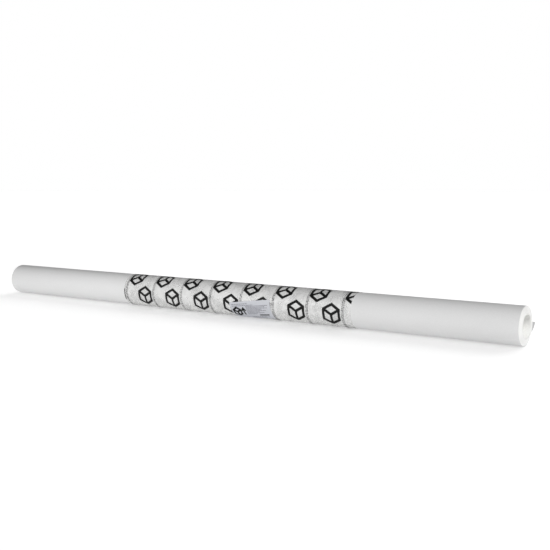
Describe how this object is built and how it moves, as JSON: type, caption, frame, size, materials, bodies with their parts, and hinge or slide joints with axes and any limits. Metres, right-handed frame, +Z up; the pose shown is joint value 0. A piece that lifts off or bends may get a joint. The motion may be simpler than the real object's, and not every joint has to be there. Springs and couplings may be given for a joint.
{
  "type": "backdrop paper roll",
  "caption": "Roll of seamless background paper on a board core, one corner of the sheet sprung open, held closed by a band of printed clear film with a label.",
  "frame": {"origin": "on the core's axis, at the middle of the core's length", "axes": "+X along the roll towards the end with the sprung corner, +Z up, +Y towards the sheet's free edge at the back"},
  "size_m": [1.3525, 0.0883, 0.0732],
  "materials": {
    "core_board": "matt spiral-wound board with fuzzy cut ends",
    "start_tape": "matt paper tape",
    "sheet_paper": "matt, fine-grained uncoated white paper",
    "film": "clear glossy film, finely wrinkled, with bold black print",
    "label_paper": "satin label paper with grey print"
  },
  "bodies": {
    "roll": {"core_inner_ply": "core_board", "core_middle_ply": "core_board", "core_outer_ply": "core_board", "core_start_tape": "start_tape", "paper_wound": "sheet_paper", "paper_last_turn": "sheet_paper"},
    "right_corner": {"free_corner_right": "sheet_paper"},
    "left_corner": {"free_corner_left": "sheet_paper"},
    "film": {"printed_film": "film", "product_label": "label_paper"}
  },
  "joints": [
    {"name": "film_pull", "type": "slide", "parent": "roll", "child": "film", "axis": [1, 0, 0], "range_m": [-1.03, 0]},
    {"name": "right_corner_lift", "type": "hinge", "parent": "roll", "child": "right_corner", "pos_m": [0.6175, 0.03263, -0.01521], "axis": [-1, 0, 0], "range_deg": [-43, 45], "stiffness_Nm_per_rad": 0.004},
    {"name": "left_corner_lift", "type": "hinge", "parent": "roll", "child": "left_corner", "pos_m": [-0.6225, 0.03263, -0.01521], "axis": [-1, 0, 0], "range_deg": [0, 90], "stiffness_Nm_per_rad": 0.004, "springref_deg": -9.74}
  ]
}
